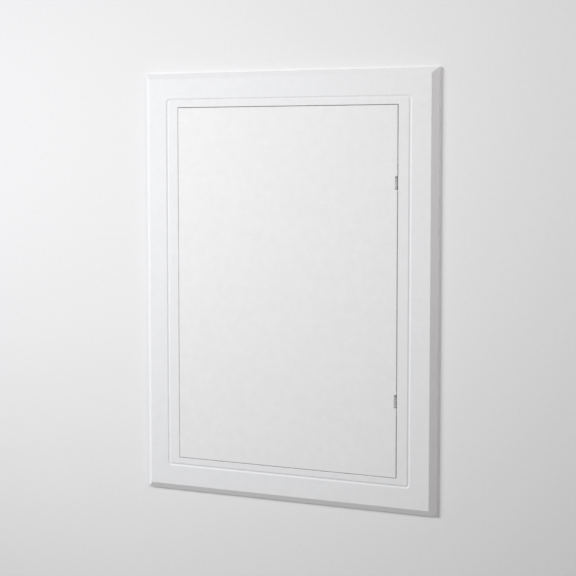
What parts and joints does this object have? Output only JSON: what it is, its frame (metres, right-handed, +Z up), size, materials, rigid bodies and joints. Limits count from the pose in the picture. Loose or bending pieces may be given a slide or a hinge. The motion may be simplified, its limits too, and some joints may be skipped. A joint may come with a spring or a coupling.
{
  "type": "access panel",
  "caption": "White moulded wall access panel: bevelled frame with a wall collar and a flush hinged door that a push latch holds shut.",
  "frame": {"origin": "middle of the wall cut-out, in the wall plane that the flange rests on", "axes": "+Z up, +X to the hinge side as seen from the front, +Y into the wall; the door's face looks along -Y"},
  "size_m": [0.3, 0.0405, 0.4],
  "materials": {
    "frame_plastic": "white ABS, fine moulded grain, satin",
    "door_plastic": "white ABS, fine moulded grain, satin",
    "latch_plastic": "light grey acetal, satin",
    "plunger_plastic": "natural acetal, satin",
    "zinc_steel": "bright zinc plate",
    "magnet_nickel": "nickel plate",
    "seal_foam": "closed-cell foam"
  },
  "bodies": {
    "frame": {"frame": "frame_plastic", "latch_body": "latch_plastic", "latch_cap": "latch_plastic", "latch_screws": "zinc_steel", "seal_top": "seal_foam", "seal_bottom": "seal_foam", "seal_latch_side": "seal_foam"},
    "door": {"door": "door_plastic", "hinge_pin_upper": "zinc_steel", "hinge_pin_lower": "zinc_steel", "strike_plate": "zinc_steel", "strike_screws": "zinc_steel"},
    "plunger": {"latch_plunger": "plunger_plastic", "latch_magnet": "magnet_nickel", "latch_spring": "zinc_steel"},
    "follower": {"latch_follower": "zinc_steel"}
  },
  "joints": [
    {"name": "door_swing", "type": "hinge", "parent": "frame", "child": "door", "pos_m": [0.109, -0.003, 0], "axis": [0, 0, 1], "range_deg": [0, 95]},
    {"name": "plunger_push", "type": "slide", "parent": "frame", "child": "plunger", "axis": [0, 1, 0], "range_m": [0, 0.003], "stiffness_N_per_m": 300, "springref_m": -0.008, "deforming": ["latch_spring"]},
    {"name": "follower_swing", "type": "hinge", "parent": "frame", "child": "follower", "pos_m": [-0.10115, 0.0201, 0], "axis": [1, 0, 0], "range_deg": [0, 9]}
  ],
  "couplings": [
    {"joint": "follower_swing", "follows": "plunger_push", "rad_per_m": 50.19}
  ]
}
